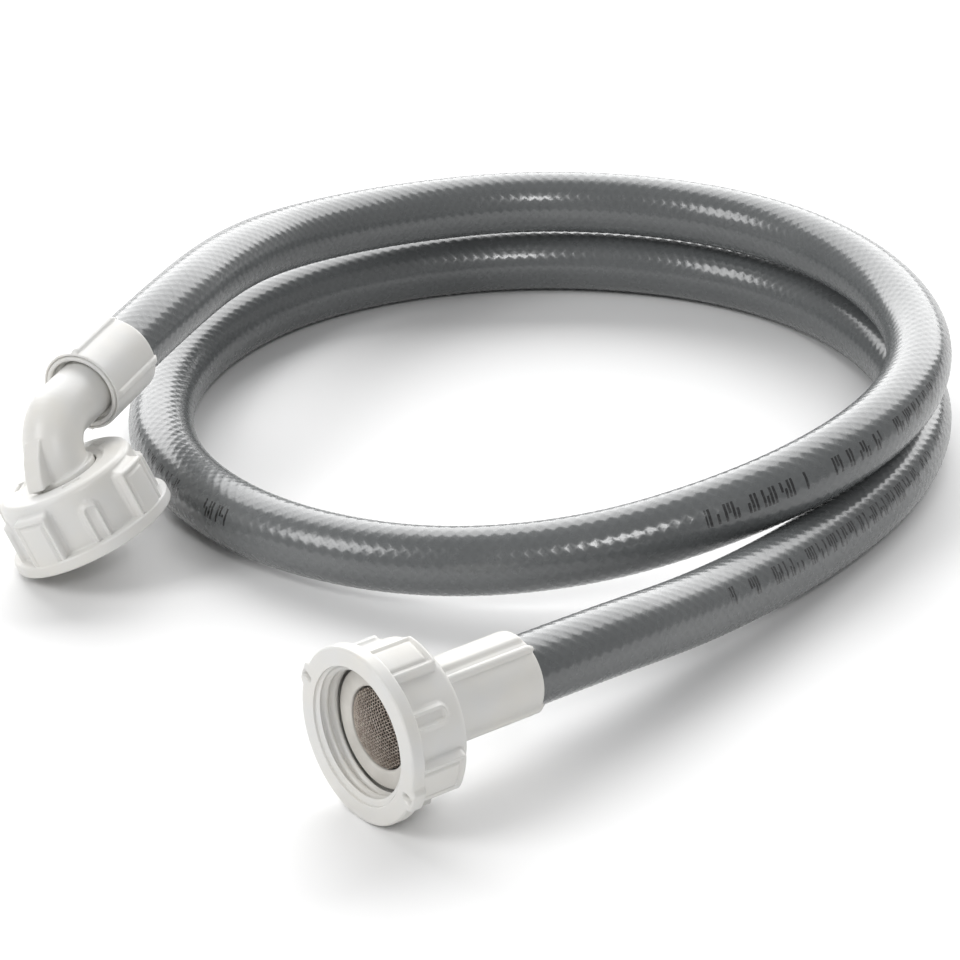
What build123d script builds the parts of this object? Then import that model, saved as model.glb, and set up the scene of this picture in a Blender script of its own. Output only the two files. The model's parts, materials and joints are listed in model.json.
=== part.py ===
"""Braid-reinforced water supply hose with a straight tap fitting and a 90 degree appliance fitting.

Millimetres, +Z up, floor at Z = 0. The origin is on the floor, below the middle of the box
that holds the two fittings. The hose lies in one and three quarter loose turns beside them.

Each fitting is modelled on its own axis first: local Z = 0 is the mouth of its nut, local +Z
points out of the mouth, and everything else lies at negative Z. Then it is set down in place.
"""

import math
import os

from build123d import *

# --- hose -------------------------------------------------------------------------------
HOSE_R = 7.0  # outer radius
BORE_R = 5.0
LINER_R = 5.8  # liner's outer radius, which the braid is wound on
BRAID_R = 6.2

# --- G 3/4 parallel pipe thread, the size of every washing machine tap --------------------
PITCH = 1.814
THREAD_MINOR_R = 24.117 / 2
THREAD_MAJOR_R = 26.441 / 2

# --- tap fitting ----------------------------------------------------------------------------
TAP_FLANGE_R = 17.0
TAP_FLANGE_T = 3.0
TAP_BODY_R = 15.2
TAP_NUT_H = 14.6
TAP_FERRULE_END = 37.2  # mouth to the end of the ferrule
TAP_FERRULE_R = 8.0
TAP_NECK_R = 7.5
TAP_LUGS_AT = -15.0  # degrees round from the top
TAP_EARS_AT = 68.5
TAP_RIBS_AT = -28.0

# --- elbow fitting --------------------------------------------------------------------------
ELBOW_FLANGE_R = 17.2
ELBOW_FLANGE_T = 2.6
ELBOW_BODY_R = 14.8
ELBOW_NUT_H = 14.8
ELBOW_CORNER = 24.2  # mouth to the hose leg's axis
ELBOW_BEND_R = 9.0  # centre line of the bend
ELBOW_TUBE_R = 6.1
ELBOW_NECK_R = 7.1
ELBOW_LUGS_AT = -2.0  # degrees round from the hose's side
ELBOW_RIBS_AT = 20.0
ELBOW_FERRULE_START = 16.2  # corner to the ferrule
ELBOW_FERRULE_END = 32.6
ELBOW_FERRULE_R = 8.6

# --- shared by both fittings ----------------------------------------------------------------
NUT_BACK_WALL = 2.7
LUGS = 4  # wide lugs, with a narrow rib between each two
THREAD_START = -1.0  # below the mouth
THREAD_END = -4.4  # in front of the gasket; behind it the bore is relieved
RELIEF_R = THREAD_MAJOR_R + 0.25
SEAT = 7.65  # mouth to the face that the gasket is pressed on
SEAT_T = 4.0  # thickness of the collar that holds the nut on
COLLAR_R = 11.6
PLAY = 0.3  # gap that lets a nut spin
WASHER_T = 2.6
WASHER_R = 11.7
WASHER_HOLE_R = 8.0
WALL = 2.0

# --- where the fittings lie -------------------------------------------------------------
TAP_MOUTH = Vector(21.15, -61.2, TAP_FLANGE_R + 0.02)
TAP_OUT = Vector(-0.783, -0.622, 0).normalized()
ELBOW_MOUTH = Vector(-36.0, 37.5, 7.26)
ELBOW_OUT = Vector(0.425, -0.086, -0.901).normalized()
ELBOW_LEG = Vector(0.415, 0.903, 0.11)  # from the corner along the hose

# --- route of the hose's centre line between its first and its last bend ------------------
ROUTE = [
    (86.0, -1.0, 11.0),
    (110.0, 31.0, 7.4),
    (129.0, 61.5, 7.1),
    (137.3, 94.5, 7.1),
    (132.7, 126.5, 7.1),
    (116.5, 154.5, 7.1),
    (90.5, 172.5, 7.1),
    (57.5, 179.0, 7.1),
    (24.5, 173.0, 7.1),
    (-3.5, 156.5, 7.1),
    (-22.0, 129.5, 7.1),
    (-29.1, 96.5, 7.1),
    (-22.3, 63.0, 7.4),
    (-1.1, 34.5, 8.4),
    (30.0, 18.2, 10.0),
    (63.0, 17.0, 13.2),
    (94.0, 26.0, 19.2),
    (118.0, 46.0, 22.1),
    (132.5, 73.5, 22.1),
    (136.5, 103.5, 22.1),
    (128.5, 134.0, 22.1),
    (110.0, 159.0, 22.1),
    (83.5, 173.5, 22.1),
    (52.5, 177.5, 22.1),
    (23.5, 168.0, 23.0),
    (-0.5, 147.0, 26.5),
    (-14.0, 119.5, 32.0),
]
EXIT_RUN = 16.5  # straight hose between a ferrule and the first bend's point
TAP_GRIP = 18.0  # hose inside the tap ferrule
ELBOW_GRIP = 13.5


def across(direction, axis):
    """Unit vector nearest to direction, square to axis."""
    return (direction - axis * direction.dot(axis)).normalized()


TAP_PLANE = Plane(origin=TAP_MOUTH, x_dir=across(Vector(0, 0, 1), TAP_OUT), z_dir=TAP_OUT)
LEG = across(ELBOW_LEG, ELBOW_OUT)
ELBOW_PLANE = Plane(origin=ELBOW_MOUTH, x_dir=LEG, z_dir=ELBOW_OUT)
LEG_PLANE = Plane(
    origin=ELBOW_MOUTH - ELBOW_OUT * ELBOW_CORNER, x_dir=ELBOW_OUT, z_dir=LEG
)  # local Z = 0 at the corner, +Z towards the hose


def turned(*outline):
    """Solid of revolution about local Z, from (radius, height) points."""
    return revolve(make_face(Polyline(*[(r, 0, z) for r, z in outline], close=True)), Axis.Z)


def ring(outer, inner, low, high):
    return turned((inner, low), (outer, low), (outer, high), (inner, high))


def around(shape, count, first=0.0):
    """Copies of shape, evenly spaced about local Z."""
    return [Rot(0, 0, first + 360 * i / count) * shape for i in range(count)]


def block(r_in, r_out, width, low, high, corner):
    """Radial block with rounded long edges, for lugs and ribs on a turned body."""
    solid = Pos((r_in + r_out) / 2, 0, (low + high) / 2) * Box(r_out - r_in, width, high - low)
    outside = solid.edges().filter_by(Axis.Z).sort_by(Axis.X)[-2:]
    return fillet(outside, corner)


def thread_grooves(first, last):
    """Thread grooves as closed rings, one pitch apart."""
    cuts = []
    z = first
    while z > last:
        cuts.append(
            turned(
                (THREAD_MINOR_R - 0.2, z - 0.85),
                (THREAD_MAJOR_R, z - 0.15),
                (THREAD_MAJOR_R, z + 0.15),
                (THREAD_MINOR_R - 0.2, z + 0.85),
            )
        )
        z -= PITCH
    return cuts


def nut_shell(flange_r, flange_t, body_r, back_r, height, hole_r):
    """Flanged nut with a back wall, threaded inside."""
    back = -height
    inner_back = back + NUT_BACK_WALL
    shell = turned(
        (RELIEF_R, 0),
        (flange_r - 0.5, 0),
        (flange_r, -0.5),
        (flange_r, -flange_t + 0.4),
        (flange_r - 0.4, -flange_t),
        (body_r, -flange_t),
        (back_r, back + 1.4),
        (back_r - 1.4, back),
        (hole_r, back),
        (hole_r, inner_back),
        (RELIEF_R, inner_back),
        (RELIEF_R, THREAD_END - 0.6),
        (THREAD_MINOR_R, THREAD_END),
        (THREAD_MINOR_R, THREAD_START),
    )
    return shell - thread_grooves(THREAD_START - 0.95, THREAD_END + 0.8)


# --- hose ---------------------------------------------------------------------------------
tap_exit = TAP_MOUTH - TAP_OUT * TAP_FERRULE_END
elbow_exit = LEG_PLANE.origin + LEG * ELBOW_FERRULE_END
points = [tap_exit + TAP_OUT * TAP_GRIP, tap_exit - TAP_OUT * EXIT_RUN]
points += [Vector(*p) for p in ROUTE]
points += [elbow_exit + LEG * EXIT_RUN, elbow_exit - LEG * ELBOW_GRIP]


def bend_radii(route):
    """Largest arc that each point leaves room for."""
    radii = []
    for before, here, after in zip(route, route[1:], route[2:]):
        turn = math.radians((here - before).get_angle(after - here))
        shorter = min((here - before).length, (after - here).length)
        radii.append(0.45 * shorter / math.tan(turn / 2))
    return radii


radii = bend_radii(points)
centre_line = FilletPolyline(*points, radius=radii)
hose_start = Plane(origin=centre_line @ 0, z_dir=centre_line % 0)
print("bend radii", [round(r) for r in radii])
print("hose length", round(centre_line.length, 1))


def hose_layer(outer, inner):
    section = hose_start * (Circle(outer) - Circle(inner))
    return sweep(section, path=centre_line)


def tail(start, end):
    """Barbed tube that the hose is pushed on, from start down to end."""
    barbs = 4
    step = (start - end - 3) / barbs
    outline = [(3.6, start), (4.6, start)]
    for i in range(barbs):
        top = start - 1.5 - step * i
        outline += [(4.6, top), (4.96, top - 0.2), (4.6, top - step + 0.4)]
    outline += [(4.4, end), (3.6, end)]
    return turned(*outline)


def ferrule_ribs(radius, low, high, first):
    """Four thin ribs that run past the sleeve's lip as small rounded bumps."""
    rib = block(radius - 0.4, radius + 0.75, 1.5, low, high, 0.5)
    return around(rib, 4, first)


def grip(flange_r, flange_t, body_r, height, first):
    """Wide lugs as proud as the flange, and narrow ribs between them."""
    lug = block(body_r - 1.2, flange_r + 0.5, 9.0, -height + 2.2, -flange_t / 2, 1.2)
    lug = lug & Cylinder(flange_r - 0.1, 2 * height)
    rib = block(body_r - 1.0, body_r + 1.0, 2.8, -0.7 * height, -flange_t + 0.2, 0.7)
    return around(lug, LUGS, first) + around(rib, LUGS, first + 180 / LUGS)


def washer():
    return ring(WASHER_R, WASHER_HOLE_R, -SEAT + 0.35, -SEAT + 0.35 + WASHER_T)


# --- tap fitting -----------------------------------------------------------------------------
def tap_nut():
    shell = nut_shell(
        TAP_FLANGE_R,
        TAP_FLANGE_T,
        TAP_BODY_R,
        TAP_BODY_R - 0.4,
        TAP_NUT_H,
        TAP_NECK_R + PLAY,
    )
    ear = Pos(TAP_FLANGE_R - 0.8, 0, -TAP_FLANGE_T / 2) * Cylinder(1.7, TAP_FLANGE_T)
    lugs = grip(TAP_FLANGE_R, TAP_FLANGE_T, TAP_BODY_R, TAP_NUT_H, TAP_LUGS_AT)
    return shell + lugs + around(ear, 2, TAP_EARS_AT)


def tap_stem():
    """Collar that the nut turns behind, neck through the nut, and the barbed tail."""
    collar_back = -SEAT - SEAT_T
    neck_end = -TAP_NUT_H - PLAY
    waist_end = neck_end - WALL
    collar = ring(COLLAR_R, 3.6, collar_back, -SEAT)
    neck = ring(TAP_NECK_R, 3.6, neck_end, collar_back)
    waist = ring(6.6, 3.6, waist_end, neck_end)
    return collar + neck + waist + tail(waist_end, -TAP_FERRULE_END + 3)


def tap_ferrule():
    """Ribbed sleeve over the hose's end, with a wider pad along its top."""
    front = -TAP_NUT_H - PLAY
    sleeve = turned(
        (6.62, front),
        (TAP_FERRULE_R - 0.3, front),
        (TAP_FERRULE_R, front - 0.4),
        (TAP_FERRULE_R + 0.1, -TAP_FERRULE_END + 0.5),
        (TAP_FERRULE_R - 0.4, -TAP_FERRULE_END),
        (HOSE_R + 0.03, -TAP_FERRULE_END),
        (HOSE_R + 0.03, front - WALL),
        (6.62, front - WALL),
    )
    pad_r = TAP_FERRULE_R + 0.55
    pad = block(pad_r - 1, pad_r, 6.5, -TAP_FERRULE_END + 1.8, front - 2.5, 0.4)
    ribs = ferrule_ribs(TAP_FERRULE_R, -TAP_FERRULE_END - 0.6, front - 1, TAP_RIBS_AT)
    return sleeve + ribs + Rot(0, 0, TAP_RIBS_AT + 40) * pad


def tap_filter():
    """Wire gauze dome pressed from a flat disc, clamped by its edge under the gasket."""
    low = -SEAT + 0.12
    gauge = 0.23
    dome_r = 7.6
    height = 2.9
    sphere_r = (dome_r**2 + height**2) / (2 * height)
    shell = Sphere(sphere_r) - Sphere(sphere_r - gauge)
    cap = Pos(0, 0, low + height - sphere_r) * shell & Pos(0, 0, low + 5) * Cylinder(9, 10)
    return cap + ring(11.2, dome_r - 0.4, low, low + gauge)


# --- elbow fitting ---------------------------------------------------------------------------
def elbow_nut():
    shell = nut_shell(
        ELBOW_FLANGE_R,
        ELBOW_FLANGE_T,
        ELBOW_BODY_R + 0.6,
        ELBOW_BODY_R,
        ELBOW_NUT_H,
        ELBOW_NECK_R + PLAY,
    )
    return shell + grip(ELBOW_FLANGE_R, ELBOW_FLANGE_T, ELBOW_BODY_R, ELBOW_NUT_H, ELBOW_LUGS_AT)


def elbow_body():
    """Collar, short neck, swept bend and barbed tail in one tube, with a web down its back."""
    collar_back = -SEAT - SEAT_T
    neck_end = -ELBOW_NUT_H - 0.4
    bend_start = ELBOW_BEND_R - ELBOW_CORNER
    towards_hose = Pos(0, 0, -ELBOW_CORNER) * Rot(0, 90, 0)
    bend_axis = Axis((ELBOW_BEND_R, 0, bend_start), (0, -1, 0))

    def bent(radius):
        """Round bar through the fitting: down the leg, round the bend and out to the tail."""
        down = Pos(0, 0, bend_start / 2) * Cylinder(radius, -bend_start)
        bend = revolve(Pos(0, 0, bend_start) * Circle(radius), bend_axis, 90)
        straight = ELBOW_FERRULE_START + WALL - ELBOW_BEND_R
        along = towards_hose * Pos(0, 0, ELBOW_BEND_R + straight / 2) * Cylinder(radius, straight)
        return down + bend + along

    collar = ring(COLLAR_R, 3.0, collar_back, -SEAT)
    neck = ring(ELBOW_NECK_R, 3.0, neck_end, collar_back)
    web_side = Polyline((-3, -15.3), (-9.4, -15.3), (-7.4, -19.6), (-3.4, -23.6), (0, -22), close=True)
    web = extrude(Plane.XZ * make_face(web_side), 2.2, both=True)
    barbs = Rot(180, 0, 0) * tail(-ELBOW_FERRULE_START - WALL, -ELBOW_FERRULE_END + 3)
    in_front_of_seat = Pos(0, 0, SEAT / 2 - SEAT) * Cylinder(COLLAR_R, SEAT)
    body = bent(ELBOW_TUBE_R) - in_front_of_seat
    return collar + neck + body + web + towards_hose * barbs - bent(3.6)


def elbow_ferrule():
    """Ribbed sleeve, stepped where the elbow's tube comes out of it. Local +Z is the hose's way."""
    neck_r = ELBOW_TUBE_R + 0.35
    start, end = ELBOW_FERRULE_START, ELBOW_FERRULE_END
    sleeve = turned(
        (neck_r, start + 1.2),
        (neck_r + 1.0, start),
        (ELBOW_FERRULE_R - 0.3, start),
        (ELBOW_FERRULE_R + 0.2, start + 0.5),
        (ELBOW_FERRULE_R, end - 0.5),
        (ELBOW_FERRULE_R - 0.5, end),
        (HOSE_R + 0.03, end),
        (HOSE_R + 0.03, start + WALL),
        (neck_r, start + WALL),
    )
    return sleeve + ferrule_ribs(ELBOW_FERRULE_R, start + 1, end + 0.6, ELBOW_RIBS_AT)


def build():
    at_tap = Location(TAP_PLANE)
    at_elbow = Location(ELBOW_PLANE)
    at_leg = Location(LEG_PLANE)
    return {
        "hose_liner": hose_layer(LINER_R, BORE_R),
        "hose_braid": hose_layer(BRAID_R, LINER_R),
        "hose_cover": hose_layer(HOSE_R, BRAID_R),
        "tap_nut": at_tap * tap_nut(),
        "tap_stem": at_tap * tap_stem(),
        "tap_ferrule": at_tap * tap_ferrule(),
        "tap_gasket": at_tap * washer(),
        "tap_filter": at_tap * tap_filter(),
        "elbow_nut": at_elbow * elbow_nut(),
        "elbow_body": at_elbow * elbow_body(),
        "elbow_gasket": at_elbow * washer(),
        "elbow_ferrule": at_leg * elbow_ferrule(),
    }


os.makedirs("parts", exist_ok=True)
for name, shape in build().items():
    export_step(shape, f"parts/{name}.step")
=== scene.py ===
"""A braid-reinforced water supply hose, loosely coiled, with a tap nut and an elbow nut.

Each fitting is shaped on its own axis in millimetres, with the mouth of its nut at z = 0 and
everything else below it, and is then set down where the CAD frame has it.
"""

import json
import math

import bmesh
import bpy
import numpy as np
from mathutils import Matrix, Vector


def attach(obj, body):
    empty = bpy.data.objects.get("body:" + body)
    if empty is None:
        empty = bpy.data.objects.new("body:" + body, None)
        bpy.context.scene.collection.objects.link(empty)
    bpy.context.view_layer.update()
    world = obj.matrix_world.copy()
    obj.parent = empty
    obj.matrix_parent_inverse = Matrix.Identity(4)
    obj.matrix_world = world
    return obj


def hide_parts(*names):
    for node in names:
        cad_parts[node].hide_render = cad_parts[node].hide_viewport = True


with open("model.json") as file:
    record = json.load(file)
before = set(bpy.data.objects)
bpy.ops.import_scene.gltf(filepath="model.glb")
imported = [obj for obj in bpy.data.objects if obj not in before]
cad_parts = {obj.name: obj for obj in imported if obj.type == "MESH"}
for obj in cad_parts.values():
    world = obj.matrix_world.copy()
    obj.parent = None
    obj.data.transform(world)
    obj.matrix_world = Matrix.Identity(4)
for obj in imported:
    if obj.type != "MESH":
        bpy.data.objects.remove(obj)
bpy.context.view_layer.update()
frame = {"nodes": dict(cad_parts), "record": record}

MM = 0.001
MOUTH_ABOVE_MOUNT = 0.0027  # the record's thread mounts sit this far inside the mouths

# hose, in metres
HOSE_DIAMETER = 0.014
HOSE_R = HOSE_DIAMETER / 2
SIDES_PER_DIAMOND = 4
DIAMONDS_ROUND = 16
SIDES = SIDES_PER_DIAMOND * DIAMONDS_ROUND
RINGS_PER_DIAMOND = 4
DIAMOND_LENGTH = 0.00256
RELIEF = 0.00007  # depth of the hollows between the yarns is up to twice this
TAP_FERRULE_END = 0.0372  # mouth of the nut to the far lip of its ferrule
TAP_GRIP = 0.018  # length of hose inside the ferrule
ELBOW_CORNER = 0.0242  # mouth of the nut to where the elbow's two axes cross
ELBOW_FERRULE_END = 0.0326  # that crossing to the far lip of the ferrule
ELBOW_GRIP = 0.0135
EXIT_RUN = 0.0165  # straight run of the route beyond each ferrule

# camera, in metres unless the name says otherwise
ELEVATION_DEG = 25.9
CAMERA_AIM = Vector((0.0545, 0.0985, 0))
CAMERA_DISTANCE = 0.872
LENS_MM = 150.6
SHIFT_X, SHIFT_Y = -0.0646, -0.0484  # sideways and up, in widths of the frame

# print along the hose, in millimetres from the tap end
TICK_STEP = 0.8
TICK_WIDTH = 0.66  # as a share of the step
TICK_REACH = 1.85  # a tall tick's half height
SHORT_REACH = 0.3
TICKS_IN_GROUP = 5  # the first of each is left blank
FIRST_RUN = (70, 500)
SECOND_RUN_FROM = 597

# union nuts, in millimetres
PITCH = 1.814
THREAD_MINOR_R = 12.06
THREAD_DEPTH = 1.0
THREAD_END = -4.6
RELIEF_R = 13.4  # bore behind the thread
SEAT = 7.65  # mouth to the face that the gasket lies on
NUT_BACK_WALL = 2.7
MOUTH_R = 13.35
LUG_HALF = 4.6
SLOT_R = 10.4

# elbow and sleeves, in millimetres
ELBOW_BEND_R = 9.0
ELBOW_TUBE_R = 6.15
ELBOW_NECK_R = 7.1
COLLAR_R = 11.6
WATER_WAY_R = 3.6
WEB_HALF = 2.2
MELT_VOXEL = 0.28
SLEEVE_BORE_R = 7.1  # clear of the hose

# gasket and gauze, in millimetres
GASKET_R, GASKET_HOLE_R, GASKET_T = 11.7, 8.0, 2.6
GASKET_PLAY = 0.35  # between the gasket and its seat
GAUZE_RIM = -5.3  # height of the dome's rim, inside the gasket's hole
GAUZE_TURN_DEG = 38
WIRE_PITCH = 0.56
WIRE_REACH = 7.85
WIRE_R = 0.105
WIRE_WEAVE = 0.1
WIRE_SIDES = 5
# drop below the gauze and thickness of the dark sheet that paints the shade inside the filter
SHADE_SHEET_DROP, SHADE_SHEET_T = 0.28, 0.12

FLOOR_REACH = 3.0  # metres each way

# the route's points between the first and the last bend, the same as the CAD's
ROUTE = [
    (0.0860, -0.0010, 0.0110),
    (0.1100, 0.0310, 0.0074),
    (0.1290, 0.0615, 0.0071),
    (0.1373, 0.0945, 0.0071),
    (0.1327, 0.1265, 0.0071),
    (0.1165, 0.1545, 0.0071),
    (0.0905, 0.1725, 0.0071),
    (0.0575, 0.1790, 0.0071),
    (0.0245, 0.1730, 0.0071),
    (-0.0035, 0.1565, 0.0071),
    (-0.0220, 0.1295, 0.0071),
    (-0.0291, 0.0965, 0.0071),
    (-0.0223, 0.0630, 0.0074),
    (-0.0011, 0.0345, 0.0084),
    (0.0300, 0.0182, 0.0100),
    (0.0630, 0.0170, 0.0132),
    (0.0940, 0.0260, 0.0192),
    (0.1180, 0.0460, 0.0221),
    (0.1325, 0.0735, 0.0221),
    (0.1365, 0.1035, 0.0221),
    (0.1285, 0.1340, 0.0221),
    (0.1100, 0.1590, 0.0221),
    (0.0835, 0.1735, 0.0221),
    (0.0525, 0.1775, 0.0221),
    (0.0235, 0.1680, 0.0230),
    (-0.0005, 0.1470, 0.0265),
    (-0.0140, 0.1195, 0.0320),
]


def across(direction, axis):
    """Unit vector nearest to direction, square to axis."""
    return (direction - axis * direction.dot(axis)).normalized()


def axes_matrix(origin, x_dir, z_dir):
    """Local frame to row frame, for points in metres."""
    y_dir = z_dir.cross(x_dir)
    turn = Matrix((x_dir, y_dir, z_dir)).transposed()
    return Matrix.Translation(origin) @ turn.to_4x4()


def mouth_of(mount_name):
    """Centre of a nut's mouth, and the way out of it."""
    mount = next(m for m in frame["record"]["mounts"] if m["name"] == mount_name)
    out = Vector(mount["axis"]).normalized()
    return Vector(mount["pos_m"]) + out * MOUTH_ABOVE_MOUNT, out


tap_mouth, tap_out = mouth_of("tap_thread")
elbow_mouth, elbow_out = mouth_of("elbow_thread")
leg_dir = across(Vector((0.415, 0.903, 0.11)), elbow_out)
corner_at = elbow_mouth - elbow_out * ELBOW_CORNER
AT_TAP = axes_matrix(tap_mouth, across(Vector((0, 0, 1)), tap_out), tap_out)
AT_ELBOW = axes_matrix(elbow_mouth, leg_dir, elbow_out)
AT_LEG = axes_matrix(corner_at, elbow_out, leg_dir)
tap_exit = tap_mouth - tap_out * TAP_FERRULE_END
elbow_exit = corner_at + leg_dir * ELBOW_FERRULE_END


# --- camera --------------------------------------------------------------------------------------
def add_camera():
    """Looks along +Y and down at the middle of the coil, from well back."""
    elevation = math.radians(ELEVATION_DEG)
    data = bpy.data.cameras.new("camera")
    data.sensor_width = 36
    data.lens = LENS_MM
    data.shift_x = SHIFT_X
    data.shift_y = SHIFT_Y
    camera = bpy.data.objects.new("camera", data)
    back = Vector((0, -math.cos(elevation), math.sin(elevation)))
    camera.location = CAMERA_AIM + back * CAMERA_DISTANCE
    camera.rotation_euler = (math.pi / 2 - elevation, 0, 0)
    bpy.context.collection.objects.link(camera)
    bpy.context.scene.camera = camera


add_camera()


# --- mesh helpers --------------------------------------------------------------------------------
def link(name, mesh, material):
    piece = bpy.data.objects.new(name, mesh)
    bpy.context.collection.objects.link(piece)
    mesh.materials.append(material)
    return piece


def grid_mesh(name, points, close_rows, uv=None):
    """Quad mesh over a rows x columns x 3 array of points in metres; each row closes on itself."""
    rows, columns, _ = points.shape
    last_row = rows if close_rows else rows - 1
    row, column = np.meshgrid(np.arange(last_row), np.arange(columns), indexing="ij")
    row_next, column_next = (row + 1) % rows, (column + 1) % columns
    corners = [
        row * columns + column,
        row * columns + column_next,
        row_next * columns + column_next,
        row_next * columns + column,
    ]
    faces = np.stack(corners, axis=-1).reshape(-1, 4)
    mesh = bpy.data.meshes.new(name)
    mesh.vertices.add(rows * columns)
    mesh.vertices.foreach_set("co", points.reshape(-1).astype(np.float32))
    mesh.loops.add(faces.size)
    mesh.loops.foreach_set("vertex_index", faces.reshape(-1).astype(np.int32))
    mesh.polygons.add(len(faces))
    mesh.polygons.foreach_set("loop_start", np.arange(0, faces.size, 4, dtype=np.int32))
    mesh.update(calc_edges=True)
    mesh.polygons.foreach_set("use_smooth", np.ones(len(faces), dtype=bool))
    if uv is not None:
        layer = mesh.uv_layers.new(name="along")
        u_step, v_step = uv
        u = np.stack([column, column + 1, column + 1, column], axis=-1) * u_step
        v = np.stack([row, row, row + 1, row + 1], axis=-1) * v_step
        layer.data.foreach_set("uv", np.stack([u, v], axis=-1).reshape(-1).astype(np.float32))
    mesh.validate()
    return mesh


def smoothstep(low, high, value):
    t = np.clip((value - low) / (high - low), 0, 1)
    return t * t * (3 - 2 * t)


def outline(corners, step):
    """Closed section of (radius, height) points, with each (r, z, fillet) corner rounded."""
    spots = [np.array(c[:2], float) for c in corners]
    points = []
    for i, here in enumerate(spots):
        before, after = spots[i - 1], spots[(i + 1) % len(spots)]
        to_before = (before - here) / np.linalg.norm(before - here)
        to_after = (after - here) / np.linalg.norm(after - here)
        fillet = corners[i][2]
        half = math.acos(np.clip(to_before @ to_after, -1, 1)) / 2
        if fillet == 0 or half > 1.55:
            points.append(here)
            continue
        reach = fillet / math.tan(half)
        start, end = here + to_before * reach, here + to_after * reach
        bisector = (to_before + to_after) / np.linalg.norm(to_before + to_after)
        centre = here + bisector * fillet / math.sin(half)
        for t in np.linspace(0, 1, 5):
            spoke = (start - centre) * (1 - t) + (end - centre) * t
            points.append(centre + spoke / np.linalg.norm(spoke) * fillet)
    dense = []
    for a, b in zip(points, points[1:] + points[:1]):
        count = max(1, math.ceil(np.linalg.norm(b - a) / step))
        dense += [a + (b - a) * k / count for k in range(count)]
    return np.array(dense)


def angles(base, features=(), reach=0.0, count=0):
    """Angles round a turned piece, closer together about each feature's middle."""
    spread = np.linspace(-reach, reach, count)
    extra = [f + s for f in features for s in spread]
    evenly = np.linspace(0, math.tau, base, False)
    return np.unique(np.round(np.mod([*evenly, *extra], math.tau), 4))


def evenly_from(start_deg, count):
    """Angles in radians of count features evenly round a piece; none without a start."""
    if start_deg is None:
        return []
    return [math.radians(start_deg + 360 / count * k) for k in range(count)]


def turned(name, section, around, matrix, material, shape=None):
    """Closed turned piece; shape(angle, radius, height) moves its points before it is placed."""
    angle, radius = np.meshgrid(around, section[:, 0])
    height = np.repeat(section[:, 1][:, None], len(around), axis=1)
    if shape:
        radius, height = shape(angle, radius, height)
    local = np.stack([radius * np.cos(angle), radius * np.sin(angle), height], axis=-1) * MM
    turn = np.array(matrix.to_3x3())
    placed = local @ turn.T + np.array(matrix.translation)
    return link(name, grid_mesh(name, placed, close_rows=True), material)


def arc_distance(angle, middle, radius):
    """Distance round the circle, in mm, from the line at angle middle."""
    return np.abs(np.mod(angle - middle + math.pi, math.tau) - math.pi) * radius


# --- materials -----------------------------------------------------------------------------------
class Nodes:
    """Short way to write a shader's node tree."""

    def __init__(self, name):
        self.material = bpy.data.materials.new(name)
        self.material.use_nodes = True
        self.tree = self.material.node_tree
        self.shader = self.tree.nodes["Principled BSDF"]

    def set(self, **values):
        for key, value in values.items():
            self.shader.inputs[key.replace("_", " ")].default_value = value

    def node(self, kind, settings=None, **inputs):
        node = self.tree.nodes.new(kind)
        for key, value in (settings or {}).items():
            setattr(node, key, value)
        for key, value in inputs.items():
            self.feed(node.inputs[key.replace("_", " ")], value)
        return node

    def feed(self, socket, value):
        if isinstance(value, bpy.types.NodeSocket):
            self.tree.links.new(value, socket)
        else:
            socket.default_value = value

    def math(self, operation, a, b=0.0):
        node = self.tree.nodes.new("ShaderNodeMath")
        node.operation = operation
        for socket, value in zip(node.inputs, (a, b)):
            self.feed(socket, value)
        return node.outputs[0]

    def noise(self, vector, scale, detail=3.0):
        kind = "ShaderNodeTexNoise"
        node = self.node(kind, Vector=vector, Scale=scale, Detail=detail, Roughness=0.55)
        return node.outputs["Fac"]

    def chance(self, number):
        """White noise that is fixed by a whole number."""
        return self.node("ShaderNodeTexWhiteNoise", {"noise_dimensions": "1D"}, W=number).outputs

    def place(self):
        return self.node("ShaderNodeTexCoord").outputs["Object"]

    def ramp(self, value, *stops):
        node = self.node("ShaderNodeValToRGB", Fac=value)
        elements = node.color_ramp.elements
        while len(elements) < len(stops):
            elements.new(0.5)
        for element, (position, colour) in zip(elements, stops):
            element.position = position
            element.color = (*colour, 1)
        return node.outputs["Color"]

    def span(self, value, low, high, to_low, to_high, smooth=False):
        node = self.node("ShaderNodeMapRange", Value=value)
        node.interpolation_type = "SMOOTHSTEP" if smooth else "LINEAR"
        limits = {"From Min": low, "From Max": high, "To Min": to_low, "To Max": to_high}
        for key, number in limits.items():
            node.inputs[key].default_value = number
        return node.outputs["Result"]

    def bump(self, height, distance, strength=1.0, normal=None):
        node = self.node("ShaderNodeBump", Height=height, Strength=strength, Distance=distance)
        if normal:
            self.feed(node.inputs["Normal"], normal)
        return node.outputs["Normal"]

    def mix(self, factor, a, b):
        node = self.tree.nodes.new("ShaderNodeMix")
        node.data_type = "RGBA"
        self.feed(node.inputs[0], factor)
        self.feed(node.inputs[6], a)
        self.feed(node.inputs[7], b)
        return node.outputs[2]

    def to_shader(self, **sockets):
        for key, value in sockets.items():
            self.feed(self.shader.inputs[key.replace("_", " ")], value)


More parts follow.
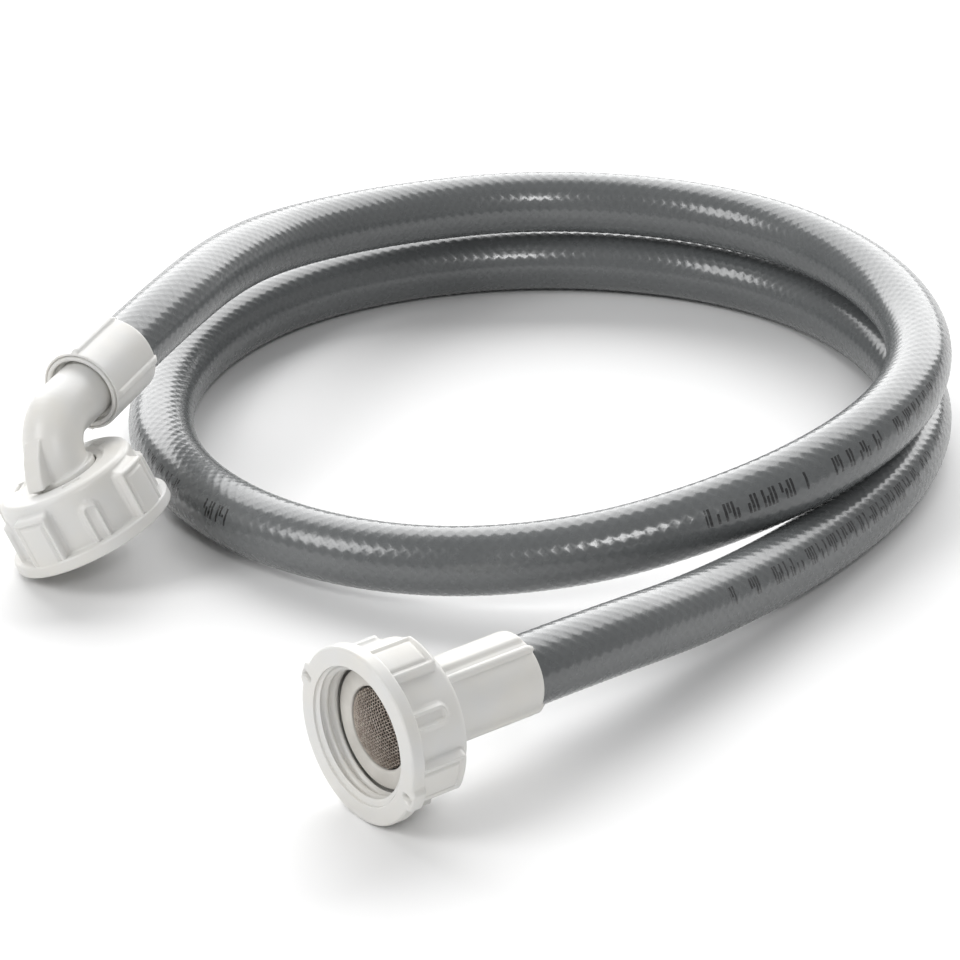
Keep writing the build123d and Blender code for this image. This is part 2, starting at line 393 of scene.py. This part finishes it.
def white_nylon():
    """Moulded plastic: faint cloudiness, a fine mould texture, slightly uneven gloss."""
    m = Nodes("white_nylon")
    place = m.place()
    cloud = m.noise(place, 90, 4)
    white = (0.70, 0.695, 0.68)
    warm = tuple(c * k for c, k in zip(white, (1.0, 0.985, 0.95)))
    cool = tuple(c * k for c, k in zip(white, (0.965, 0.97, 0.975)))
    colour_out = m.ramp(cloud, (0.32, cool), (0.7, warm))
    gloss = m.span(m.noise(place, 300, 3), 0.3, 0.7, 0.30, 0.44)
    skin = m.bump(m.noise(place, 2600, 2), 0.00002, 0.5)
    sink = m.bump(m.noise(place, 160, 2), 0.0003, 0.25, skin)
    m.to_shader(Base_Color=colour_out, Roughness=gloss, Normal=sink)
    m.set(Subsurface_Weight=0.12, Subsurface_Scale=0.002, Specular_IOR_Level=0.5)
    m.shader.inputs["Subsurface Radius"].default_value = (1.0, 0.95, 0.9)
    return m.material


def gasket_rubber():
    m = Nodes("gasket_rubber")
    place = m.place()
    colour = m.ramp(m.noise(place, 220, 4), (0.3, (0.60, 0.58, 0.54)), (0.72, (0.70, 0.68, 0.64)))
    skin = m.bump(m.noise(place, 1800, 3), 0.00003, 0.6)
    gloss = m.span(m.noise(place, 500), 0.3, 0.7, 0.42, 0.6)
    m.to_shader(Base_Color=colour, Roughness=gloss, Normal=skin)
    return m.material


def gauze_wire():
    m = Nodes("gauze_wire")
    place = m.place()
    dark, middle, pale = (0.30, 0.25, 0.21), (0.46, 0.40, 0.35), (0.60, 0.54, 0.48)
    colour = m.ramp(m.noise(place, 900, 3), (0.3, dark), (0.55, middle), (0.8, pale))
    gloss = m.span(m.noise(place, 1500), 0.3, 0.7, 0.28, 0.5)
    m.to_shader(Base_Color=colour, Roughness=gloss)
    m.set(Metallic=0.85)
    return m.material


def gauze_shadow():
    m = Nodes("gauze_shadow")
    # painted shade: near-black, faintly mottled colour for the sheet under the gauze
    weave = m.noise(m.place(), 1400, 2)
    m.to_shader(Base_Color=m.ramp(weave, (0.3, (0.035, 0.03, 0.026)), (0.7, (0.09, 0.075, 0.062))))
    m.set(Roughness=0.6, Metallic=0.3)
    return m.material


def ink_marks(m, u, v):
    """Opacity of the print on the hose: upright ticks of random heights that spell nothing."""
    along_mm = m.math("MULTIPLY", v, DIAMOND_LENGTH / MM)
    line_at = m.span(along_mm, 130, 400, 0.166, 0.178)  # share of a turn down from the top
    across_mm = m.math("MULTIPLY", m.math("SUBTRACT", line_at, u), math.tau * HOSE_R / MM)
    tick = m.math("DIVIDE", along_mm, TICK_STEP)
    number = m.math("FLOOR", tick)
    chances = m.node("ShaderNodeSeparateColor", Color=m.chance(number)["Color"]).outputs
    cut_above, cut_below = (m.math("GREATER_THAN", chances[i], 0.75) for i in (0, 1))
    top = m.span(cut_above, 0, 1, TICK_REACH, SHORT_REACH)
    bottom = m.span(cut_below, 0, 1, -TICK_REACH, -SHORT_REACH)
    group = m.math("FLOOR", m.math("DIVIDE", number, TICKS_IN_GROUP))
    run_middle, run_half = sum(FIRST_RUN) / 2, (FIRST_RUN[1] - FIRST_RUN[0]) / 2
    off_middle = m.math("ABSOLUTE", m.math("SUBTRACT", along_mm, run_middle))
    tests = [
        m.math("LESS_THAN", across_mm, top),
        m.math("GREATER_THAN", across_mm, bottom),
        m.math("LESS_THAN", m.math("FRACT", tick), TICK_WIDTH),
        m.math("GREATER_THAN", chances[2], 0.12),
        m.math("GREATER_THAN", m.math("MODULO", number, TICKS_IN_GROUP), 0.5),
        m.math("GREATER_THAN", m.chance(group)["Value"], 0.12),
        m.math(
            "MAXIMUM",
            m.math("LESS_THAN", off_middle, run_half),
            m.math("GREATER_THAN", along_mm, SECOND_RUN_FROM),
        ),
    ]
    mask = m.span(along_mm, 120, 420, 0.85, 0.97)
    for test in tests:
        mask = m.math("MULTIPLY", mask, test)
    return mask


def hose_pvc():
    """Grey PVC over a diamond braid that shows through as a relief and as paler yarns."""
    m = Nodes("hose_pvc")
    place = m.place()
    uv = m.node("ShaderNodeUVMap", {"uv_map": "along"}).outputs["UV"]
    split = m.node("ShaderNodeSeparateXYZ", Vector=uv)
    u, v = split.outputs["X"], split.outputs["Y"]
    round_phase = m.math("MULTIPLY", u, DIAMONDS_ROUND * math.tau)
    along_phase = m.math("MULTIPLY", v, math.tau)
    right = m.math("COSINE", m.math("ADD", round_phase, along_phase))
    left = m.math("COSINE", m.math("SUBTRACT", round_phase, along_phase))
    right_yarn = m.span(right, -0.2, 0.9, 0, 1, smooth=True)
    left_yarn = m.span(left, -0.2, 0.9, 0, 1, smooth=True)
    yarns = m.math("MAXIMUM", right_yarn, left_yarn)
    cloud = m.noise(place, 38, 3)
    shade = m.ramp(cloud, (0.3, (0.100, 0.106, 0.108)), (0.7, (0.118, 0.124, 0.126)))
    pale = m.ramp(cloud, (0.3, (0.118, 0.124, 0.126)), (0.7, (0.136, 0.143, 0.145)))
    grey = m.mix(m.math("MULTIPLY", yarns, 0.4), shade, pale)
    ink = ink_marks(m, u, v)
    ink = m.math("MULTIPLY", ink, m.span(m.noise(place, 1500), 0.3, 0.5, 0.7, 1.0))
    colour = m.mix(ink, grey, (0.012, 0.012, 0.013, 1))
    gloss = m.span(m.noise(place, 420, 3), 0.3, 0.7, 0.22, 0.30)
    braid = m.bump(yarns, 0.00010, 0.15)
    ripple = m.bump(m.noise(place, 260, 2), 0.0002, 0.18, braid)
    m.to_shader(Base_Color=colour, Roughness=gloss, Normal=ripple)
    m.set(Specular_IOR_Level=0.6, Coat_Weight=0.4, Coat_Roughness=0.12)
    return m.material


WHITE = white_nylon()
GASKET = gasket_rubber()
WIRE = gauze_wire()
GAUZE_SHADOW = gauze_shadow()
HOSE = hose_pvc()


# --- hose ----------------------------------------------------------------------------------------
def spline_line(points):
    """Smooth line of the hose: a NURBS curve with the route's points as its control points."""
    curve = bpy.data.curves.new("route", "CURVE")
    curve.dimensions = "3D"
    spline = curve.splines.new("NURBS")
    spline.points.add(len(points) - 1)
    for spot, point in zip(spline.points, points):
        spot.co = (*point, 1)
    spline.order_u = 3
    spline.use_endpoint_u = True
    spline.resolution_u = 90
    holder = bpy.data.objects.new("route", curve)
    bpy.context.collection.objects.link(holder)
    mesh = bpy.data.meshes.new_from_object(holder)
    line = np.array([v.co[:] for v in mesh.vertices])
    bpy.data.objects.remove(holder)
    bpy.data.meshes.remove(mesh)
    return line


def even_rings(line, spacing):
    """Points a fixed distance apart along line, with the direction of the line at each."""
    lengths = np.concatenate([[0], np.cumsum(np.linalg.norm(np.diff(line, axis=0), axis=1))])
    count = int(lengths[-1] / spacing)
    at = np.linspace(0, lengths[-1], count)
    centres = np.stack([np.interp(at, lengths, line[:, k]) for k in range(3)], axis=1)
    tangents = np.gradient(centres, axis=0)
    return centres, tangents / np.linalg.norm(tangents, axis=1)[:, None]


def upright_frames(tangents):
    """The upward and the sideways direction square to the line at each ring."""
    ups = np.array([0.0, 0.0, 1.0]) - tangents * tangents[:, 2:]
    ups /= np.linalg.norm(ups, axis=1)[:, None]
    return ups, np.cross(tangents, ups)


def add_hose():
    """The hose with its braid's relief, the line of its middle, and its length."""
    points = [tap_exit + tap_out * TAP_GRIP, tap_exit - tap_out * EXIT_RUN]
    points += [Vector(p) for p in ROUTE]
    points += [elbow_exit + leg_dir * EXIT_RUN, elbow_exit - leg_dir * ELBOW_GRIP]
    line = spline_line(points)
    centres, tangents = even_rings(line, DIAMOND_LENGTH / RINGS_PER_DIAMOND)
    ups, sides = upright_frames(tangents)
    ring, side = np.meshgrid(np.arange(len(centres)), np.arange(SIDES), indexing="ij")
    round_phase = side * math.tau / SIDES_PER_DIAMOND
    along_phase = ring * math.tau / RINGS_PER_DIAMOND
    relief = np.maximum(np.cos(round_phase + along_phase), np.cos(round_phase - along_phase))
    radius = HOSE_R - RELIEF * (1 - relief)
    angle = side / SIDES * math.tau
    spoke = np.cos(angle)[..., None] * ups[:, None] + np.sin(angle)[..., None] * sides[:, None]
    shape = centres[:, None] + spoke * radius[..., None]
    mesh = grid_mesh("hose", shape, close_rows=False, uv=(1 / SIDES, 1 / RINGS_PER_DIAMOND))
    hose = link("hose", mesh, HOSE)
    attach(hose, "hose")
    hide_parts("hose_cover", "hose_braid", "hose_liner")
    length = float(np.linalg.norm(np.diff(centres, axis=0), axis=1).sum())
    return hose, centres, length


hose, hose_path, hose_length = add_hose()


# --- union nuts ----------------------------------------------------------------------------------
def inside_rounded(across_mm, height, half, end, corner):
    """How far inside a rounded tab a point lies; the tab runs up to the flange from height end."""
    a = across_mm - (half - corner)
    b = end + corner - height
    return corner - np.hypot(np.maximum(a, 0), np.maximum(b, 0)) - np.minimum(np.maximum(a, b), 0)


class NutShape:
    """Moves a turned nut's points into its lugs, ribs, ears, slots and thread."""

    def __init__(self, flange_r, flange_t, body_r, height, lugs_at, ears_at=None, slots_at=None):
        self.flange_r, self.flange_t = flange_r, flange_t
        self.body_r, self.height = body_r, height
        self.lugs = evenly_from(lugs_at, 4)
        self.ribs = [a + math.pi / 4 for a in self.lugs]
        self.ears = evenly_from(ears_at, 2)
        self.slots = evenly_from(slots_at, 3)

    def section(self, hole_r):
        """Half section, from just inside the mouth round the outside to the thread."""
        back = -self.height
        inner_back = back + NUT_BACK_WALL
        return outline(
            [
                (MOUTH_R - 0.05, -0.5, 0.1),
                (MOUTH_R, 0, 0.12),
                (self.flange_r, 0, 0.5),
                (self.flange_r, -self.flange_t, 0.45),
                (self.body_r, -self.flange_t - 0.1, 0.5),
                (self.body_r - 0.4, back + 0.2, 1.5),
                (hole_r + 2.2, back, 0.6),
                (hole_r + 1.6, back + 0.5, 0.3),
                (hole_r, back + 0.5, 0.4),
                (hole_r, inner_back, 0),
                (RELIEF_R, inner_back, 0.2),
                (RELIEF_R, THREAD_END - 0.4, 0),
                (THREAD_MINOR_R, THREAD_END, 0),
                (THREAD_MINOR_R, -0.9, 0),
            ],
            step=0.3,
        )

    def around(self):
        return angles(150, self.lugs + self.ribs + self.ears, reach=0.36, count=31)

    def with_lugs_and_ribs(self, angle, radius, height):
        """Outside radius: wide lugs with a sunk border, and narrow ribs with a raised one."""
        outside = (radius > 14.0) & (height < -self.flange_t + 0.5) & (height > -self.height + 0.6)
        new = radius.copy()
        lug_end, lug_rise = 2.0 - self.height, self.flange_r - 0.15 - self.body_r
        for middle in self.lugs:
            off = arc_distance(angle, middle, self.flange_r)
            inside = inside_rounded(off, height, LUG_HALF, lug_end, 1.0)
            groove = np.exp(-(((inside - 1.55) / 0.32) ** 2))
            proud = smoothstep(-0.15, 0.6, inside) * lug_rise - 0.5 * groove
            lug = np.maximum(new, self.body_r + proud)
            new = np.where(outside & (inside > -0.2), lug, new)
        for middle in self.ribs:
            off = arc_distance(angle, middle, self.body_r)
            inside = inside_rounded(off, height, 1.75, -0.72 * self.height, 1.6)
            ridge = 0.95 * np.exp(-(((inside - 0.5) / 0.42) ** 2))
            filled = 0.35 * smoothstep(0.4, 0.9, inside)
            rib = np.maximum(new, self.body_r + np.maximum(ridge, filled))
            new = np.where(outside & (inside > -0.5), rib, new)
        return new

    def __call__(self, angle, radius, height):
        new = self.with_lugs_and_ribs(angle, radius, height)
        rim = (radius > self.flange_r - 1.6) & (height > -self.flange_t - 0.05)
        face = (radius > self.flange_r - 2.2) & (height > -0.02)
        back = (radius > SLOT_R - 0.7) & (height < -self.height + 0.3)
        height = height.copy()
        for middle in self.ears:
            off = arc_distance(angle, middle, self.flange_r)
            outward = 0.95 * smoothstep(2.7, 1.7, off) * (radius - self.flange_r + 1.6) / 1.6
            new = np.where(rim, new + outward, new)
            dimple = np.hypot(off, radius - self.flange_r + 1.15)
            height = np.where(face, height - 1.1 * smoothstep(0.95, 0.65, dimple), height)
        for middle in self.slots:
            slot = smoothstep(0.75, 0.45, np.abs(radius - SLOT_R))
            slot = slot * smoothstep(2.1, 1.8, arc_distance(angle, middle, SLOT_R))
            height = np.where(back, height + 1.2 * slot, height)
        bore = (radius < THREAD_MINOR_R + 0.9) & (height > THREAD_END - 0.1)
        turn = np.mod((height + angle / math.tau * PITCH) / PITCH, 1)
        vee = smoothstep(0.12, 0.5, np.minimum(turn, 1 - turn))
        fade = smoothstep(-0.1, -1.0, height) * smoothstep(THREAD_END, THREAD_END + 0.8, height)
        new = np.where(bore, new + THREAD_DEPTH * vee * fade, new)
        return new, height


def add_nut(name, shape, hole_r, matrix, body):
    nut = turned(name + "_moulded", shape.section(hole_r), shape.around(), matrix, WHITE, shape)
    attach(nut, body)
    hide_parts(name)
    return nut


tap_nut_shape = NutShape(17.0, 2.9, 15.1, 14.6, lugs_at=-15, ears_at=68.5)
add_nut("tap_nut", tap_nut_shape, 7.8, AT_TAP, "tap_nut")
elbow_nut_shape = NutShape(17.2, 2.6, 14.9, 14.8, lugs_at=-2, slots_at=15)
elbow_nut = add_nut("elbow_nut", elbow_nut_shape, 7.4, AT_ELBOW, "elbow_nut")


# --- ferrules ------------------------------------------------------------------------------------
class FerruleShape:
    """Raises four thin ribs that run past the lip and, on request, a wider pad between two."""

    def __init__(self, radius, low, high, ribs_at, lip, pad_at=None):
        self.radius, self.low, self.high, self.lip = radius, low, high, lip
        self.ribs = evenly_from(ribs_at, 4)
        self.pads = evenly_from(pad_at, 1)

    def around(self):
        return angles(120, self.ribs, reach=0.2, count=17)

    def __call__(self, angle, radius, height):
        new, z = radius.copy(), height.copy()
        outside = radius > self.radius - 0.45
        along = smoothstep(self.low - 0.3, self.low + 0.7, height)
        along = along * smoothstep(self.high + 0.3, self.high - 0.7, height)
        for middle in self.ribs:
            off = arc_distance(angle, middle, self.radius)
            ridge = 0.75 * np.sqrt(np.clip(1 - (off / 0.85) ** 2, 0, 1))
            new = np.where(outside, new + ridge * along, new)
            at_lip = smoothstep(0.9, 0.0, np.abs(height - self.lip)) * outside
            z = z + at_lip * 0.9 * smoothstep(0.9, 0.3, off) * math.copysign(1, self.lip)
        for middle in self.pads:
            off = arc_distance(angle, middle, self.radius)
            new = np.where(outside, new + 0.55 * smoothstep(3.7, 3.0, off) * along, new)
        return new, z


def add_ferrule(name, section, shape, matrix):
    sleeve = turned(name + "_moulded", section, shape.around(), matrix, WHITE, shape)
    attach(sleeve, "hose")
    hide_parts(name)
    return sleeve


def tap_ferrule():
    r, front, end = 8.0, -14.9, -TAP_FERRULE_END / MM
    section = outline(
        [
            (6.7, front, 0),
            (r, front, 0.5),
            (r + 0.1, end, 0.75),
            (SLEEVE_BORE_R, end + 0.1, 0.3),
            (SLEEVE_BORE_R, front - 2, 0),
            (6.7, front - 2, 0),
        ][::-1],
        step=0.5,
    )
    shape = FerruleShape(r, end + 0.4, front - 1.2, ribs_at=-28, lip=end, pad_at=12)
    return add_ferrule("tap_ferrule", section, shape, AT_TAP)


def elbow_ferrule():
    r, start, end = 8.6, 16.2, ELBOW_FERRULE_END / MM
    section = outline(
        [
            (6.2, start + 2.2, 0),
            (7.05, start + 1.9, 0.2),
            (7.05, start + 0.1, 0.4),
            (7.95, start, 0.3),
            (8.0, start + 0.7, 0.12),
            (8.2, start + 0.7, 0.12),
            (8.3, start + 0.3, 0.1),
            (r + 0.1, start + 0.3, 0.25),
            (r, end, 0.75),
            (SLEEVE_BORE_R, end - 0.1, 0.3),
            (SLEEVE_BORE_R, start + 3, 0),
            (6.2, start + 3, 0),
        ],
        step=0.35,
    )
    shape = FerruleShape(r, start + 0.6, end - 0.4, ribs_at=20, lip=end)
    return add_ferrule("elbow_ferrule", section, shape, AT_LEG)


tap_ferrule()
elbow_sleeve = elbow_ferrule()


# --- elbow ---------------------------------------------------------------------------------------
def bent_line():
    """Middle of the elbow's tube, in its own XZ plane: back from the nut, round, to the hose."""
    corner, bend = ELBOW_CORNER / MM, ELBOW_BEND_R
    down = [(0, z) for z in np.arange(-SEAT - 1, bend - corner, -0.8)]
    turn = np.linspace(0, math.pi / 2, 16)
    bent = [(bend - bend * math.cos(t), bend - corner - bend * math.sin(t)) for t in turn]
    along = [(x, -corner) for x in np.arange(bend + 0.8, 20, 0.8)]
    return down + bent + along


def add_bent_tube(bm, line, radius, sides=64):
    """Capped tube along a line in the XZ plane."""
    rings = []
    for before, here, after in zip([line[0], *line], line, [*line[1:], line[-1]]):
        tangent = Vector((after[0] - before[0], 0, after[1] - before[1])).normalized()
        side = Vector((0, 1, 0))
        up = tangent.cross(side)
        centre = Vector((here[0], 0, here[1]))
        ring = []
        for k in range(sides):
            turn = math.tau * k / sides
            spoke = side * math.cos(turn) + up * math.sin(turn)
            ring.append(bm.verts.new(centre + spoke * radius))
        rings.append(ring)
    for a, b in zip(rings, rings[1:]):
        for k in range(sides):
            after = (k + 1) % sides
            bm.faces.new((a[k], a[after], b[after], b[k]))
    bm.faces.new(rings[0][::-1])
    bm.faces.new(rings[-1])


def add_plate(bm, outline_xz, half):
    """Flat plate in the XZ plane, half thick to each side of it."""
    near, far = ([bm.verts.new((x, y, z)) for x, z in outline_xz] for y in (-half, half))
    for k in range(len(near)):
        after = (k + 1) % len(near)
        bm.faces.new((near[k], near[after], far[after], far[k]))
    bm.faces.new(near[::-1])
    bm.faces.new(far)


def modified(piece):
    """Mesh of piece with its modifiers applied, which are then removed."""
    bpy.context.view_layer.update()
    evaluated = piece.evaluated_get(bpy.context.evaluated_depsgraph_get())
    shaped = bpy.data.meshes.new_from_object(evaluated)
    piece.modifiers.clear()
    piece.data = shaped
    return shaped


def elbow_body():
    """Collar, neck, bent tube and the web down its back, melted into one moulding and bored."""
    bm = bmesh.new()

    def post(radius, top, bottom):
        matrix = Matrix.Translation((0, 0, (top + bottom) / 2))
        size = dict(radius1=radius, radius2=radius, depth=top - bottom)
        bmesh.ops.create_cone(bm, cap_ends=True, segments=96, **size, matrix=matrix)

    post(COLLAR_R, -SEAT, -SEAT - 4)
    post(ELBOW_NECK_R, -SEAT - 3, -15.2)
    add_bent_tube(bm, bent_line(), ELBOW_TUBE_R)
    web = [(-3, -15.3), (-9.6, -15.3), (-8.6, -18.0), (-6.6, -21.0), (-3.6, -23.9), (1, -21)]
    add_plate(bm, web, WEB_HALF)
    bmesh.ops.recalc_face_normals(bm, faces=bm.faces)
    mesh = bpy.data.meshes.new("elbow_moulded")
    bm.to_mesh(mesh)
    bm.free()
    piece = link("elbow_moulded", mesh, WHITE)
    melt = piece.modifiers.new("melt", "REMESH")
    melt.mode = "VOXEL"
    melt.voxel_size = MELT_VOXEL
    soften = piece.modifiers.new("soften", "SMOOTH")
    soften.factor = 0.5
    soften.iterations = 5
    modified(piece)

    cutter_bm = bmesh.new()
    add_bent_tube(cutter_bm, [(0, z) for z in (-2, -8, -14, -20)], WATER_WAY_R)
    cutter_mesh = bpy.data.meshes.new("bore")
    cutter_bm.to_mesh(cutter_mesh)
    cutter_bm.free()
    cutter = bpy.data.objects.new("bore", cutter_mesh)
    bpy.context.collection.objects.link(cutter)
    bore = piece.modifiers.new("bore", "BOOLEAN")
    bore.operation = "DIFFERENCE"
    bore.object = cutter
    shaped = modified(piece)
    bpy.data.objects.remove(cutter)

    shaped.transform(AT_ELBOW @ Matrix.Scale(MM, 4))
    shaped.polygons.foreach_set("use_smooth", [True] * len(shaped.polygons))
    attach(piece, "hose")
    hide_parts("elbow_body")
    return piece


elbow = elbow_body()


# --- gaskets and filter --------------------------------------------------------------------------
def add_gasket(name, matrix, body):
    low = GASKET_PLAY - SEAT
    high = low + GASKET_T
    section = outline(
        [
            (GASKET_HOLE_R, low, 0.2),
            (GASKET_R, low, 0.3),
            (GASKET_R, high, 0.45),
            (GASKET_HOLE_R, high, 0.4),
        ],
        step=0.5,
    )
    ring = turned(name + "_moulded", section, angles(128), matrix, GASKET)
    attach(ring, body)
    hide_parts(name)
    return ring


def dome_height(x, y, base_r=7.9, rise=2.8):
    """Height of the pressed dome above its rim."""
    sphere_r = (base_r**2 + rise**2) / (2 * rise)
    return np.sqrt(np.maximum(sphere_r**2 - x * x - y * y, 0)) - (sphere_r - rise)


def wire_rings(across_mm, along, weave, turned_over):
    """Rings of points along one wire of the gauze."""
    height = dome_height(along, across_mm) + weave
    line = np.stack([along, np.full_like(along, across_mm), height], axis=-1)
    tangent = np.gradient(line, axis=0)
    tangent /= np.linalg.norm(tangent, axis=1)[:, None]
    side = np.cross(tangent, [0.0, 0.0, 1.0])
    side /= np.linalg.norm(side, axis=1)[:, None]
    up = np.cross(side, tangent)
    turn = np.linspace(0, math.tau, WIRE_SIDES, endpoint=False)
    rings = line[:, None] + WIRE_R * (
        np.cos(turn)[None, :, None] * side[:, None] + np.sin(turn)[None, :, None] * up[:, None]
    )
    return rings[..., [1, 0, 2]] if turned_over else rings


def add_filter():
    """Woven wire gauze: two sets of wires that pass over and under each other across a dome."""
    bm = bmesh.new()
    turned_round = Matrix.Rotation(math.radians(GAUZE_TURN_DEG), 4, "Z")
    to_row = AT_TAP @ turned_round @ Matrix.Scale(MM, 4)
    for turned_over in (False, True):
        for k in range(-13, 14):
            half = math.sqrt(max(WIRE_REACH**2 - (k * WIRE_PITCH) ** 2, 0))
            steps = math.floor(half / WIRE_PITCH * 2)
            along = np.arange(-steps, steps + 1) * WIRE_PITCH / 2
            side = 1 if turned_over else -1
            weave = WIRE_WEAVE * side * (-1) ** k * np.cos(along / WIRE_PITCH * math.pi)
            rings = wire_rings(k * WIRE_PITCH, along, weave, turned_over)
            rings[..., 2] += GAUZE_RIM
            grid = [[bm.verts.new(to_row @ Vector(p)) for p in ring] for ring in rings]
            for a, b in zip(grid, grid[1:]):
                for i in range(WIRE_SIDES):
                    after = (i + 1) % WIRE_SIDES
                    bm.faces.new((a[i], a[after], b[after], b[i]))
    bmesh.ops.recalc_face_normals(bm, faces=bm.faces)
    mesh = bpy.data.meshes.new("filter_gauze")
    bm.to_mesh(mesh)
    bm.free()
    mesh.polygons.foreach_set("use_smooth", [True] * len(mesh.polygons))
    gauze = link("filter_gauze", mesh, WIRE)
    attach(gauze, "filter_washer")
    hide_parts("tap_filter")
    return gauze


def add_filter_shade_sheet():
    """Dark sheet close under the gauze, which paints the shade inside the filter and makes it look
    dense.
    """
    radii = np.linspace(0.05, 7.6, 24)
    top = dome_height(radii, 0 * radii) - SHADE_SHEET_DROP
    upper, lower = np.stack([radii, top], 1), np.stack([radii, top - SHADE_SHEET_T], 1)
    section = np.concatenate([upper, lower[::-1]]) + np.array([0, GAUZE_RIM])
    # painted shade: a dark sheet under the gauze dome
    shade_sheet = turned("filter_painted_shade", section, angles(64), AT_TAP, GAUZE_SHADOW)
    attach(shade_sheet, "filter_washer")
    return shade_sheet


add_gasket("tap_gasket", AT_TAP, "filter_washer")
elbow_gasket = add_gasket("elbow_gasket", AT_ELBOW, "hose")
add_filter()
add_filter_shade_sheet()
for slot in frame["nodes"]["tap_stem"].material_slots:
    slot.material = WHITE


# --- floor and light -----------------------------------------------------------------------------
def add_floor():
    m = Nodes("studio_floor")
    place = m.place()
    colour = m.ramp(m.noise(place, 6, 3), (0.3, (0.86, 0.86, 0.86)), (0.7, (0.88, 0.88, 0.88)))
    m.to_shader(Base_Color=colour, Normal=m.bump(m.noise(place, 900, 2), 0.00002, 0.3))
    m.set(Roughness=0.6)
    mesh = bpy.data.meshes.new("floor")
    square = [(-1, -1), (1, -1), (1, 1), (-1, 1)]
    corners = [(FLOOR_REACH * x, FLOOR_REACH * y, 0) for x, y in square]
    mesh.from_pydata(corners, [], [(0, 1, 2, 3)])
    floor = link("floor", mesh, m.material)


def add_area_light(name, place, target, size, power):
    data = bpy.data.lights.new(name, "AREA")
    data.shape = "RECTANGLE"
    data.size, data.size_y = size
    data.energy = power
    light = bpy.data.objects.new(name, data)
    light.location = place
    aim = Vector(target) - Vector(place)
    light.rotation_euler = aim.to_track_quat("-Z", "Y").to_euler()
    bpy.context.collection.objects.link(light)


def add_lights():
    """A wide softbox behind, which the hose mirrors, a key from the left and a small front lamp."""
    coil = (0.05, 0.09, 0.01)
    add_area_light("backdrop", (0.05, 1.5, 1.0), coil, (3.0, 1.9), 62)
    add_area_light("key", (-1.2, -0.5, 1.0), coil, (0.7, 0.7), 10)
    add_area_light("front", (0.35, -1.2, 1.1), coil, (0.35, 0.35), 6)
    world = bpy.data.worlds.new("studio")
    world.use_nodes = True
    world.node_tree.nodes["Background"].inputs["Color"].default_value = (1, 1, 1, 1)
    world.node_tree.nodes["Background"].inputs["Strength"].default_value = 0.34
    bpy.context.scene.world = world
    bpy.context.scene.view_settings.view_transform = "Standard"


add_floor()
add_lights()
